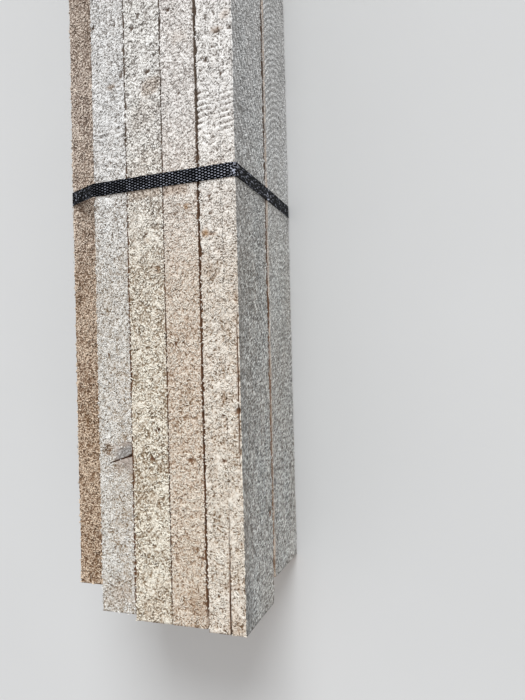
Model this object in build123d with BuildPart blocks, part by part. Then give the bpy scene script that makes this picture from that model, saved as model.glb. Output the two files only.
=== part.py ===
from build123d import *
import os
from math import radians, tan

# A bundle of rough-sawn pine studs on edge, two high, tied with two welded plastic straps.
# Millimetres. X is across the bundle, Y along the studs with the near end at -Y, and Z is up.
# The origin is the bottom centre of the bundle's box, on the floor that it lies on.

# Studs. Each list runs from left to right across the bundle.
stud_thickness = 45.0
stud_width = 95.0
stud_length = 2400.0
narrow_stud_width = 76.0
top_sawing_error = (0.0, 0.0, 1.2, -2.5, -1.3)
top_setback = (23.0, 3.2, -1.6, 0.0, -1.5)
bottom_setback = (9.0, 4.0, 14.0, 6.0, 23.5)
arris = 0.8

# Gaps between neighbours of the top row, and how far the bottom row stands out at the right.
seam = 0.5
open_seam = 1.8
ledge = 1.5

# The saw cut at each end leans from square: the near end reaches further out at its foot,
# and the left-hand side of each stud is the longer one.
end_lean = 3.0
end_skew = 2.2

# Drying split in the near end of the right-hand top stud, measured from its right face.
split_from_side = 17.5
split_length = 144.0
split_mouth = 1.8
split_drift = 1.2
split_depth = 32.0

# Broken lower corner of the same end, and wane along the right-hand bottom stud.
corner_break_height = 5.0
corner_break_length = 14.0
wane_near = 2.0
wane_far = 12.0

# Straps. Pulled tight, each one crushes the corners that it bends round to its own bend.
strap_width = 15.5
strap_thickness = 0.9
strap_clearance = 0.2
strap_inset = 496.0
bend_radius = 4.0
crush_margin = 1.5
lap_length = 42.0
lap_slope = 4.0

# Where everything lies
columns = len(top_sawing_error)
top_thicknesses = [stud_thickness + error for error in top_sawing_error]
bottom_thicknesses = [stud_thickness] * columns
top_gaps = [seam] * (columns - 2) + [open_seam]
top_row_width = sum(top_thicknesses) + sum(top_gaps)
row_width = top_row_width + ledge
bottom_gaps = [(row_width - sum(bottom_thicknesses)) / (columns - 1)] * (columns - 1)
row_left = (strap_thickness - row_width) / 2
row_right = row_left + row_width
bottom_z = strap_thickness + strap_clearance
middle_z = bottom_z + stud_width
top_z = middle_z + stud_width
setbacks = top_setback + bottom_setback
middle_setback = (min(setbacks) + max(setbacks)) / 2
strap_y = stud_length / 2 + middle_setback - strap_inset
lean = tan(radians(end_lean))
skew = tan(radians(end_skew))


def left_edges(thicknesses, gaps):
    """The left face of each stud of a row, in X."""
    edges = [row_left]
    for thickness, gap in zip(thicknesses, gaps):
        edges.append(edges[-1] + thickness + gap)
    return edges


def stud_blank(left, bottom, thickness, width, setback):
    """One sawn stud with eased edges and a slanting cut through the middle of its section at each end."""
    across = left + thickness / 2
    along = setback - middle_setback
    height = bottom + width / 2
    with BuildPart() as blank:
        with BuildSketch(Plane.XZ):
            with Locations((across, height)):
                RectangleRounded(thickness, width, arris)
        extrude(amount=stud_length, both=True)
        for end_y, kept in ((-stud_length / 2, Keep.TOP), (stud_length / 2, Keep.BOTTOM)):
            cut = Plane(origin=(across, along + end_y, height), z_dir=(-skew, 1, -lean))
            split(bisect_by=cut, keep=kept)
    return blank.part


def finish(part, name):
    """Names a piece and writes it."""
    part.label = name
    export_step(part, f"parts/{name}.step")


os.makedirs("parts", exist_ok=True)

# Outline of the stack that the straps are pulled round, clockwise from its upper right corner
top_lefts = left_edges(top_thicknesses, top_gaps)
bottom_lefts = left_edges(bottom_thicknesses, bottom_gaps)
ledge_corner = (row_right, middle_z - wane_far)
stack_corners = [
    (row_left + top_row_width, top_z),
    ledge_corner,
    (row_right, bottom_z),
    (row_left, bottom_z),
    (row_left, middle_z + narrow_stud_width),
    (top_lefts[1], top_z),
]
with BuildSketch(Plane.XZ) as stack:
    with BuildLine():
        Polyline(*stack_corners, close=True)
    make_face()
    fillet(stack.vertices().sort_by_distance(ledge_corner)[1:], bend_radius)

# What the straps crush from the corners: the room outside their outline, at each of the two places
with BuildPart() as crushed:
    for middle_y in (-strap_y, strap_y):
        with BuildSketch(Plane.XZ.offset(-middle_y)):
            offset(stack.sketch_local, amount=bend_radius)
            add(stack.sketch_local, mode=Mode.SUBTRACT)
        extrude(amount=strap_width / 2 + crush_margin, both=True)

# Top row. The left-hand stud is narrower, so its upper edge lies lower than the others.
top_widths = [narrow_stud_width] + [stud_width] * (columns - 1)
for column in range(columns - 1):
    with BuildPart() as stud:
        add(stud_blank(top_lefts[column], middle_z, top_thicknesses[column], top_widths[column],
                       top_setback[column]))
        add(crushed.part, mode=Mode.SUBTRACT)
    finish(stud.part, f"stud_top_{column + 1}")

# Right-hand top stud, with the drying split and the broken corner of its near end
last = columns - 1
last_left = top_lefts[last]
last_right = last_left + top_thicknesses[last]
last_end = top_setback[last] - middle_setback - stud_length / 2
last_foot = last_end - lean * stud_width / 2
split_x = last_right - split_from_side
split_y = last_foot - split_mouth
split_middle = last_end + split_length / 2
with BuildPart() as split_stud:
    add(stud_blank(last_left, middle_z, top_thicknesses[last], stud_width, top_setback[last]))
    with BuildSketch(Plane.XY.offset(top_z)):
        with BuildLine():
            Polyline((split_x - split_mouth / 2, split_y),
                     (split_x - split_mouth / 4, split_middle),
                     (split_x + split_drift, last_end + split_length),
                     (split_x + split_mouth / 4, split_middle),
                     (split_x + split_mouth / 2, split_y), close=True)
        make_face()
    extrude(amount=-split_depth, mode=Mode.SUBTRACT)
    with BuildSketch(Plane.YZ.offset(last_left)):
        with BuildLine():
            Polyline((last_foot - lean, middle_z), (last_foot + corner_break_length, middle_z),
                     (last_foot - lean, middle_z + corner_break_height), close=True)
        make_face()
    extrude(amount=top_thicknesses[last], mode=Mode.SUBTRACT)
    add(crushed.part, mode=Mode.SUBTRACT)
finish(split_stud.part, f"stud_top_{columns}")

# Bottom row
for column in range(columns - 1):
    with BuildPart() as stud:
        add(stud_blank(bottom_lefts[column], bottom_z, bottom_thicknesses[column], stud_width,
                       bottom_setback[column]))
        add(crushed.part, mode=Mode.SUBTRACT)
    finish(stud.part, f"stud_bottom_{column + 1}")

# Right-hand bottom stud. The round of the log shows as wane that widens along its upper edge.
wane_reach = stud_length / 2 + stud_width
with BuildPart() as wane_stud:
    add(stud_blank(bottom_lefts[last], bottom_z, bottom_thicknesses[last], stud_width,
                   bottom_setback[last]))
    for end_y, wane in ((-wane_reach, wane_near), (wane_reach, wane_far)):
        with BuildSketch(Plane.XZ.offset(-end_y)):
            with BuildLine():
                Polyline((row_right - wane, middle_z), (row_right, middle_z),
                         (row_right, middle_z - wane), close=True)
            make_face()
    loft(mode=Mode.SUBTRACT)
    add(crushed.part, mode=Mode.SUBTRACT)
finish(wane_stud.part, f"stud_bottom_{columns}")

# Straps, each a closed band with its outer end welded down over the inner one at the left
lap_x = row_left - strap_clearance - strap_thickness
lap_foot = middle_z - lap_length / 2
for name, middle_y in (("strap_near", -strap_y), ("strap_far", strap_y)):
    with BuildPart() as strap:
        with BuildSketch(Plane.XZ.offset(-middle_y)):
            add(stack.sketch_local)
            offset(amount=strap_clearance + strap_thickness)
            offset(stack.sketch_local, amount=strap_clearance, mode=Mode.SUBTRACT)
            with BuildLine():
                Polyline((lap_x, lap_foot), (lap_x - strap_thickness, lap_foot),
                         (lap_x - strap_thickness, lap_foot + lap_length),
                         (lap_x, lap_foot + lap_length + lap_slope), close=True)
            make_face()
        extrude(amount=strap_width / 2, both=True)
    finish(strap.part, name)
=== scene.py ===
import math

import bpy
import numpy as np
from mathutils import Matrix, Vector
from mathutils.geometry import delaunay_2d_cdt


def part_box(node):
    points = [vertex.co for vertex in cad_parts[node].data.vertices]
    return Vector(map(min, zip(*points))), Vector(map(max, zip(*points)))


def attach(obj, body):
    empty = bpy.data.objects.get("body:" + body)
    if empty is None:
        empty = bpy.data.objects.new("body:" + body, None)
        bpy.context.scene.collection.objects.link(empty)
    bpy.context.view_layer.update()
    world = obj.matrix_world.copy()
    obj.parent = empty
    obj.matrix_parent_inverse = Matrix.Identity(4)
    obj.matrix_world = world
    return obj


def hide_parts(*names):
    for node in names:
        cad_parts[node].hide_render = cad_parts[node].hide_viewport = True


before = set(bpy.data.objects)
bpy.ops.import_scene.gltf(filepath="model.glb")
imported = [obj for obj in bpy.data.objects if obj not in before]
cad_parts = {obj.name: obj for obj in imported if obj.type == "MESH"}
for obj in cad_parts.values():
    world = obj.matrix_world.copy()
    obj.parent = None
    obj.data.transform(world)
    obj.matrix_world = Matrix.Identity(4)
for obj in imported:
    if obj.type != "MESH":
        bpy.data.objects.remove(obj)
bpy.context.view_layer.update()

# A bundle of rough-sawn pine studs, two high, tied with two embossed straps. Sizes are in
# millimetres and become metres where a mesh, lamp or camera is made. The near end is at -Y.
MM = 0.001

# The photograph's camera, set from the right-hand top stud and the near strap
FOCAL_PX = 527.5
PHOTO_HEIGHT_PX = 700
SENSOR_MM = 36.0
CAMERA_OUT = 209.5
CAMERA_BEHIND_STRAP = 198.1
CAMERA_ABOVE = 517.0
CAMERA_TILT_DEG = (0.04, 19.60, -1.51)

# The floor's reach in metres, and where the key light shines
FLOOR_REACH = 8.0
KEY_DIRECTION = (-0.5, -2.9, -2.0)

# The studs as they were sawn, the same as in the CAD model
STUD_LENGTH = 2400.0
STUD_WIDTH = 95.0
END_LEAN = math.tan(math.radians(3.0))
END_SKEW = math.tan(math.radians(2.2))
CORNER_BREAK_HEIGHT = 5.0
CORNER_BREAK_LENGTH = 14.0
WANE_NEAR = 2.0
WANE_FAR = 12.0
CAD_ARRIS = 0.8
LEDGE = 1.5

# The straps, the same as in the CAD model
STRAP_WIDTH = 15.5
STRAP_THICKNESS = 0.9
STRAP_CLEARANCE = 0.2
BEND_RADIUS = 4.0
LAP_LENGTH = 42.0
LAP_SLOPE = 4.0

# How finely the skin is meshed: along the photographed stretch and across the tops, just beyond that
# stretch, on the right-hand side, on the left, further off, on the undersides, on hidden faces and
# beside the ends
SEEN_LENGTH = 760.0
FINE = 1.9
NEXT_LENGTH = 80.0
NEXT = 3.0
BROAD = 2.2
LEFT_SIDE = 4.5
PLAIN = 8.0
OPEN = 11.0
HIDDEN = 40.0
END_LENGTH = 14.0
AT_END = 2.5

# Distances from the near end over which the skin changes: beyond the photographed stretch, where the
# saw's marks deepen, and where the tops are pitted
FAR_FADE = (SEEN_LENGTH, SEEN_LENGTH + 200)
SAW_DEEPENS = (420, 600)
PITTED_FROM = (430, 560)

# The skin's relief, and how dark each kind of mark is; the darkness of hidden faces, seams, chip
# hollows, cracks and split lips is painted shade
ARRIS = 0.7
SAW_SHALLOW = 0.06
SKIN_SUNK = 0.4
SKIN_LOWEST = -1.6
SKIN_HIGHEST = 0.45
HIDDEN_RELIEF = -0.25
HIDDEN_SHADE = 0.6
# The smooth spots below the near strap are flattened fuzz, browned partly as a painted shadow of the
# strap
SPOT_STAIN_AND_SHADOW = 0.55
SEAM_WIDTH = 0.25
SEAM_FADE = 0.6
CHIP_DEPTH = 0.9
CHIP_SHADE = 0.68
CHIP_CLEARING = 1.2
CRACK_DEPTH = 2.0
CRACK_BORDER = 8
LIP_SHADE = 0.75

# A knot's rings, out to its rim, and the value that marks a small knot, which has no rings
KNOT_RING = 3.2
KNOT_RIM = 17.0
SMALL_KNOT = 10.0
SMALL_KNOT_RING = 20.0

# Columns of points beside an arris, a neighbour and a split
EDGE = 0.35
SEAM_EDGE = 1.15
LIP = 0.02

# The shaded line along the wane, and how far it lies under the stud above
WANE_SHADE = 0.75
WANE_SHADE_AT_END = 0.62
WANE_SHADE_GROWS = (150, 380)
WANE_BACK = 0.25
WANE_BACK_FROM = 2.5
WANE_BACK_MOST = 0.6

# The cut ends: their rim, and the spread, unevenness and dents of the points inside it
RIM_SCALE = 0.985
RIM_INSET = 0.1
NET_SPACING = 4.5
NET_JITTER = 0.9
NET_WELD = 1e-5
NET_DENT = 0.3
NET_DENT_SPREAD = 0.13
NET_FIELD_START = 99

# Loose curls: a bent spindle each, of a point, two three-sided rings and a point, with painted shade on
# its flanks and tips and a painted highlight along its spine
CURL_STATIONS = (-1.0, -0.35, 0.35, 1.0)
CURL_FACES = ((0, 2, 1), (0, 3, 2), (0, 1, 3), (1, 2, 5), (1, 5, 4), (2, 3, 6),
              (2, 6, 5), (3, 1, 4), (3, 4, 6), (7, 4, 5), (7, 5, 6), (7, 6, 4))
CURL_SHADE = (-0.25, -0.42, 0.12, -0.42, -0.42, 0.12, -0.42, -0.25)

# Their width on a narrow face and how much less it is on a broad one, how high and how far past an end
# they may reach, a lump of them, and the share that is missing far off
CURL_WIDTH = 0.36
CURL_NARROWER = 0.16
CURL_TALLEST = 0.98
CURL_OVERHANG = 0.9
LUMP_CURLS = 9
LUMP_SIZE = 1.35
FAR_BARE = 0.9

# The straps' embossing, their edges, and the run of the loop that is meshed finely
LOZENGE_PITCH = 7.35
LOZENGE_PITCH_ACROSS = 3.1
LOZENGE_HALF_LENGTH = 2.5
LOZENGE_HALF_WIDTH = 1.0
LOZENGE_SLOPE = 0.45
LOZENGE_HEIGHT = 0.3
STRAP_EDGE_HEIGHT = 0.55
STRAP_EDGE_INSET = 0.35
SHOWN_BEFORE = 10
SHOWN_RUN = 450

# A stud's sides and corners, clockwise as seen from the near end
TOP, RIGHT, BOTTOM, LEFT = range(4)
SIDE_NAMES = ("top", "right", "bottom", "left")
SIDE_TURNS = ((0, 1), (1, 0), (0, -1), (-1, 0))
CORNER_SIGNS = ((-1, 1), (1, 1), (1, -1), (-1, -1))
TOP_LEFT, TOP_RIGHT, BOTTOM_RIGHT, BOTTOM_LEFT = CORNER_SIGNS
AT_TOP_LEFT, AT_TOP_RIGHT, AT_BOTTOM_RIGHT = range(3)


def node_box(name):
    """A CAD node's lowest and highest corners, in millimetres."""
    low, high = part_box(name)
    return np.array(low) / MM, np.array(high) / MM


STRAP_Y = [float(sum(node_box(name))[1]) / 2 for name in ("strap_near", "strap_far")]


def ease(low, high, value):
    """A smooth step from 0 at low to 1 at high."""
    t = np.clip((value - low) / (high - low), 0, 1)
    return t * t * (3 - 2 * t)


def random_field(rng, length, around, size_along, size_around):
    """A smooth random function over a skin length x around, seamless both ways, with unit spread."""
    rows = math.ceil(length * 1.6 / size_along)
    columns = math.ceil(around * 1.6 / size_around)
    wave_along = np.fft.fftfreq(rows, length / rows)[:, None] * size_along
    wave_around = np.fft.rfftfreq(columns, around / columns)[None, :] * size_around
    keep = np.exp(-0.5 * math.pi ** 2 * (wave_along ** 2 + wave_around ** 2))
    keep[0, 0] = 0
    values = np.fft.irfft2(np.fft.rfft2(rng.standard_normal((rows, columns))) * keep, s=(rows, columns))
    values /= values.std()

    def sample(along, round_):
        a, b = along / length * rows, round_ / around * columns
        i, j = np.floor(a).astype(int), np.floor(b).astype(int)
        p, q = ease(0, 1, a - i), ease(0, 1, b - j)
        i0, i1, j0, j1 = i % rows, (i + 1) % rows, j % columns, (j + 1) % columns
        near = values[i0, j0] * (1 - q) + values[i0, j1] * q
        return near * (1 - p) + (values[i1, j0] * (1 - q) + values[i1, j1] * q) * p
    return sample


def steps(start, end, spacing):
    """Evenly spaced values from start up to, but without, end."""
    count = max(1, round((end - start) / spacing))
    return start + (end - start) * np.arange(count) / count


def add_object(name, data):
    """An object in the scene."""
    thing = bpy.data.objects.new(name, data)
    bpy.context.scene.collection.objects.link(thing)
    return thing


def add_mesh(name, vertices, faces, attributes, material):
    """A smooth-shaded object from millimetre vertices, with named per-vertex values."""
    mesh = bpy.data.meshes.new(name)
    mesh.from_pydata((vertices * MM).tolist(), [], faces)
    for key, values in attributes.items():
        layer = mesh.attributes.new(key, "FLOAT", "POINT")
        layer.data.foreach_set("value", np.broadcast_to(values, len(vertices)).astype(np.float32))
    mesh.polygons.foreach_set("use_smooth", [True] * len(mesh.polygons))
    mesh.materials.append(material)
    mesh.update()
    return add_object(name, mesh)


def tube_faces(rows, columns):
    """Outward faces of a tube of rows of points, each a closed ring, open at both ends."""
    i, j = np.meshgrid(np.arange(rows - 1), np.arange(columns), indexing="ij")
    first, second = i * columns + j, i * columns + (j + 1) % columns
    quads = np.stack([first, second, second + columns, first + columns], axis=-1)
    return quads.reshape(-1, 4).tolist()


def cut_net(stud, outline):
    """Points spread inside a cut end's outline, and triangles over both, anticlockwise in X and Z."""
    reach = stud.half - NET_SPACING / 2
    columns, rows = (steps(-side, side, NET_SPACING) for side in reach)
    inner = np.stack(np.meshgrid(columns, rows), -1).reshape(-1, 2) + NET_SPACING / 2
    inner = inner + stud.rng.uniform(-NET_JITTER, NET_JITTER, inner.shape)
    points = np.concatenate([outline, inner])
    loop = [(i, (i + 1) % len(outline)) for i in range(len(outline))]
    _, _, faces, sources, _, _ = delaunay_2d_cdt([Vector(p) for p in points], loop, [], 1, NET_WELD)
    faces = np.array([[sources[k][0] for k in face] for face in faces])
    a, b, c = (points[faces[:, k]] for k in range(3))
    turned = (b[:, 0] - a[:, 0]) * (c[:, 1] - a[:, 1]) < (b[:, 1] - a[:, 1]) * (c[:, 0] - a[:, 0])
    faces[turned] = faces[turned][:, ::-1]
    return inner, faces


def off_centre(mark, along, round_, grown=0.0):
    """How far each place lies from the middle of a round mark, as a share of the mark's reach."""
    from_left, from_end, half_across, half_along = mark[:4]
    across = (round_ - from_left) / (half_across + grown)
    return np.hypot(across, (along - from_end) / (half_along + grown))


class Stud:
    """A rough-sawn stud: the box that it was sawn to, its slanting ends and its fuzzy skin.

    along is the distance in Y from the middle of the near end, and round_ is the distance clockwise
    round the section from its top left corner."""

    crushed = seams = ridges = smooth_spots = splits = knots = stains = chips = lumps = ()
    crack = None
    saw_bend, saw_slope, saw_pitch, saw_depth = 0.0, 0.0, 5.3, 0.07
    pitted = 1.0

    def __init__(self, name, seed, fluff, tuft_size, **marks):
        self.name, self.fluff = name, fluff
        for kind, value in marks.items():
            setattr(self, kind, value)
        low, high = node_box(name)
        self.width, self.height = high[0] - low[0], high[2] - low[2]
        self.half = np.array([self.width / 2, self.height / 2])
        reach = END_SKEW * self.half[0] + END_LEAN * self.half[1]
        reach -= CAD_ARRIS * (1 - math.sqrt(0.5)) * (END_SKEW + END_LEAN)
        near_end = high[1] - reach - STUD_LENGTH
        self.middle = np.array([(low[0] + high[0]) / 2, near_end, (low[2] + high[2]) / 2])
        self.side_starts = np.cumsum([0, self.width, self.height, self.width, self.height])
        self.rng = np.random.default_rng(seed)
        self.fine, self.clumps, self.patches, self.waves, self.wear = (
            random_field(self.rng, STUD_LENGTH, self.side_starts[4], *size)
            for size in ((tuft_size, 0.85 * tuft_size), (2.6 * tuft_size, 2 * tuft_size),
                         (75, 18), (300, 60), (9, 9)))

    def slant(self, offsets):
        """How far the slanting cut at an end lies along, at offsets from the section's middle."""
        return END_SKEW * offsets[..., 0] + END_LEAN * offsets[..., 1]

    def slant_round(self, round_):
        """The same at distances round the section."""
        corners = np.array(CORNER_SIGNS + CORNER_SIGNS[:1]) * self.half
        return np.interp(round_, self.side_starts, self.slant(corners))

    def strap_nearness(self, along, reach):
        """1 under a strap, falling to 0 a reach beyond its edges."""
        edge, y = STRAP_WIDTH / 2, self.middle[1] + along
        return sum(1 - ease(edge, edge + reach, np.abs(y - centre)) for centre in STRAP_Y)

    def knot_marks(self, along, round_):
        """How much of a knot is at each place, and the distance from its heart."""
        mask, ring = 0.0 * (along + round_), 0.0 * (along + round_)
        for knot in self.knots:
            distance, half_along = off_centre(knot, along, round_), knot[3]
            here = knot[4] * (1 - ease(0.65, 1.05, distance + 0.1 * self.clumps(along, round_)))
            wander = 0.2 * self.wear(along, round_)
            aside = SMALL_KNOT_RING if half_along < SMALL_KNOT else 0.0
            ring = np.where(here > mask, distance * half_along + wander + aside, ring)
            mask = np.maximum(mask, here)
        if self.crack is not None:
            thin, wide = self.crack[:2]
            step = np.subtract(wide, thin)
            below = (along - thin[1]) * step[0] < (round_ - thin[0]) * step[1]
            ring = np.where(below, np.maximum(ring, KNOT_RIM), ring)
        return mask, ring

    def chip_marks(self, along, round_, grown=0.0):
        """1 in the small hollows where a fleck of wood is gone, or also in a border grown round them."""
        mask = 0.0 * (along + round_)
        for chip in self.chips:
            ragged = off_centre(chip, along, round_, grown) + 0.25 * self.fine(along, round_)
            mask = np.maximum(mask, 1 - ease(0.3, 1.0, ragged))
        return mask

    def stain_marks(self, along, round_):
        """How browned the wood is at each place, by stains and by the smooth spots' painted strap
        shadow.
        """
        mask = SPOT_STAIN_AND_SHADOW * self.spot_marks(along, round_)
        for stain in self.stains:
            ragged = off_centre(stain, along, round_) + 0.2 * self.clumps(along, round_)
            mask = np.maximum(mask, stain[4] * (1 - ease(0.3, 1.2, ragged)))
        return mask

    def seam_marks(self, along, round_):
        """How deep in shade the arris beside a neighbour is."""
        mask = 0.0 * (along + round_)
        for corner, strength in self.seams:
            start = self.side_starts[corner]
            reach = SEAM_WIDTH + 0.5 * np.clip(self.wear(along, 0 * round_ + start), -1.5, 2)
            distance = np.abs(round_ - start)
            mask = np.maximum(mask, strength * (1 - ease(reach, reach + SEAM_FADE, distance)))
        return mask

    def crack_depth(self, along, round_):
        """1 in the heart of the knot's drying crack, 0 outside it."""
        if self.crack is None:
            return 0.0 * (along + round_)
        thin, wide, thin_width, wide_width = self.crack
        step = np.subtract(wide, thin)
        share = ((round_ - thin[0]) * step[0] + (along - thin[1]) * step[1]) / (step @ step)
        inside = np.clip(share, 0, 1)
        distance = np.hypot(round_ - thin[0] - inside * step[0], along - thin[1] - inside * step[1])
        half_width = (thin_width + (wide_width - thin_width) * inside ** 9) / 2
        return 1 - ease(0.6 * half_width, 0.6 * half_width + 0.8, distance)

    def spot_marks(self, along, round_):
        """How flattened and browned the fuzz is at each place; the browning is partly a painted shadow
        of the near strap.
        """
        mask = 0.0 * (along + round_)
        for from_left, to_left, from_end, to_end in self.smooth_spots:
            edge = 1.2 * self.clumps(along, round_)
            across = ease(from_left - 1, from_left + 2, round_)
            across = across * (1 - ease(to_left - 2, to_left + 1, round_ + edge))
            length = ease(from_end - 1, from_end + 2, along + edge)
            length = length * (1 - ease(to_end - 1, to_end + 1, along))
            mask = np.maximum(mask, across * length)
        return mask

    def saw_marks(self, along, round_, broad):
        """The saw's ridges: straight, in places, on narrow faces; slanted or in arcs on broad ones."""
        down = round_ - self.width
        arc = along + self.saw_bend * (down - 0.65 * self.height) ** 2 + self.saw_slope * down
        arc = arc + 1.2 * self.patches(along, round_)
        depth = SAW_SHALLOW + (self.saw_depth - SAW_SHALLOW) * ease(*SAW_DEEPENS, along)
        marks = depth * broad * np.sin(2 * math.pi * arc / self.saw_pitch)
        for start, end, pitch, depth in self.ridges:
            here = self.ridge_cover(start, end, along, broad)
            wander = along - 0.02 * round_ + 2.0 * self.patches(along, round_)
            wander = wander + 0.7 * self.clumps(along, round_)
            worn = 1 + 0.6 * np.clip(self.clumps(along + 40, round_), -1.6, 1.5)
            marks = marks + here * depth * worn * np.sin(2 * math.pi * wander / pitch)
        return marks

    def ridge_cover(self, start, end, along, broad):
        """1 over a stretch of saw ridges on a narrow face."""
        return ease(start - 8, start + 8, along) * (1 - ease(end - 8, end + 8, along)) * (1 - broad)

    def tufts(self, along, round_, broad):
        """How high the fuzz stands, from 0 in a hollow to about 1 on a tuft."""
        fine, clumps = self.fine(along, round_), self.clumps(along, round_)
        flat = self.pitted * ease(*PITTED_FROM, along) * (1 - broad)
        fine = fine * (1 - 0.4 * flat) - 1.7 * flat * ease(1.0, 1.7, -fine)
        for start, end, _, depth in self.ridges:
            fine = fine * (1 - 1.3 * depth * self.ridge_cover(start, end, along, broad))
        # This height also sets the colour: hollows, chip hollows and saw-mark troughs get painted shade,
        # tufts and crests painted highlight
        raw = 0.44 + 0.21 * fine + 0.06 * clumps + 0.04 * self.patches(along, round_)
        raw += (1.1 + 2.2 * broad) * self.saw_marks(along, round_, broad)
        raw += 0.1 * ease(*FAR_FADE, along)
        knot, _ = self.knot_marks(along, round_)
        calm = np.maximum(self.strap_nearness(along, 2.0), 0.6 * self.spot_marks(along, round_))
        raw = raw * (1 - 0.7 * knot) + 0.3 * knot - 0.55 * self.chip_marks(along, round_)
        return np.clip(raw * (1 - calm) + 0.35 * calm, 0, 1.25)

    def relief(self, along, round_, broad):
        """How far the skin stands out of the sawn box; broad is 1 on the two wide faces."""
        rise = self.fluff * (1 - 0.5 * broad) * (self.tufts(along, round_, broad) - 0.25) - 0.3
        rise += 0.1 * np.clip(self.waves(along, round_), -2, 2) + self.saw_marks(along, round_, broad)
        knot, ring = self.knot_marks(along, round_)
        rise += knot * 0.14 * np.sin(2 * math.pi * ring / KNOT_RING) * (ring < KNOT_RIM)
        strap = self.strap_nearness(along, 1.5)
        rise = np.clip(rise - SKIN_SUNK, SKIN_LOWEST, SKIN_HIGHEST) * (1 - strap) - 0.1 * strap
        rise -= CHIP_DEPTH * self.chip_marks(along, round_)
        return rise - CRACK_DEPTH * self.crack_depth(along, round_)

    def section(self, spacings):
        """The outline's offsets from the middle, clockwise, with the distance round and the side."""
        points, round_, sides = [], [], []
        for side in range(4):
            start, end = np.array(CORNER_SIGNS[side]), np.array(CORNER_SIGNS[(side + 1) % 4])
            run = self.side_starts[side + 1] - self.side_starts[side]
            places = [steps(EDGE, run - EDGE, spacings[side]), [run - EDGE]]
            if spacings[side] < HIDDEN:
                places.append([SEAM_EDGE, run - SEAM_EDGE])
            if side == TOP:
                places += [[split[0] - LIP, split[0], split[0] + LIP] for split in self.splits]
            for place in np.sort(np.concatenate(places)):
                points.append((start + (end - start) * place / run) * self.half)
                round_.append(self.side_starts[side] + place)
                sides.append(side)
        return np.array(points), np.array(round_), np.array(sides)

    def rounded(self, offsets, along):
        """Offsets with worn arrises, crushed where a strap bends round them, and outward normals."""
        distance = self.half - np.abs(offsets)
        nearer_top = (distance[..., 1] < distance[..., 0])[..., None]
        normals = np.where(nearer_top, np.sign(offsets) * (0, 1), np.sign(offsets) * (1, 0))
        for corner, start in zip(CORNER_SIGNS, self.side_starts):
            signs = np.array(corner)
            wear = np.clip(self.wear(along, start + 0 * along), -1.5, 2.5)
            radius = ARRIS * (1.25 + 0.45 * wear)
            if corner in self.crushed:
                strap = self.strap_nearness(along, 5.0)
                radius = radius * (1 - strap) + BEND_RADIUS * strap
            radius = radius[..., None]
            inner = self.half - signs * offsets
            vector = np.clip(radius - inner, 0, None)
            size = np.hypot(vector[..., 0], vector[..., 1])[..., None]
            inside = np.all(inner < radius, axis=-1)[..., None] & (size > 0)
            unit = vector / np.where(size > 0, size, 1)
            offsets = np.where(inside, signs * (self.half - radius + unit * radius), offsets)
            normals = np.where(inside, signs * unit, normals)
        return offsets, normals

    def place(self, offsets, along):
        """World places of section offsets at distances along the stud."""
        x, y, z = self.middle
        places = x + offsets[..., 0], y + along, z + offsets[..., 1]
        return np.stack(np.broadcast_arrays(*places), axis=-1)


def split_profile(cut, split):
    """Half width, depth and drift of a split at distances from the cut end."""
    _, start, end, mouth, depth, drift = split
    share = np.clip((cut - start) / (end - start), 0, 1)
    swell = 1 - share if start <= 0 else np.sin(math.pi * share)
    crooked = 0.3 * np.sin(cut / 7.0) * np.sin(cut / 19.0)
    return mouth / 2 * swell ** 0.8 + 0.04, depth * np.sqrt(swell) + 0.05, drift * share ** 2 + crooked


def stud_rows(stud, seen):
    """Distances of the rows of points from the near cut, closest where the photograph looks."""
    far_end = STUD_LENGTH - END_LENGTH
    runs = [steps(0, END_LENGTH, AT_END), steps(END_LENGTH, far_end, PLAIN)]
    if seen:
        next_end = SEEN_LENGTH + NEXT_LENGTH
        runs = [steps(0, SEEN_LENGTH, FINE), steps(SEEN_LENGTH, next_end, NEXT),
                steps(next_end, far_end, PLAIN)]
    if stud.crack:
        (_, start), (_, end) = stud.crack[:2]
        runs.append(steps(start - CRACK_BORDER, end + CRACK_BORDER, FINE / 3) + FINE / 6)
    return np.sort(np.concatenate(runs + [steps(far_end, STUD_LENGTH, AT_END), [STUD_LENGTH]]))


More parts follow.
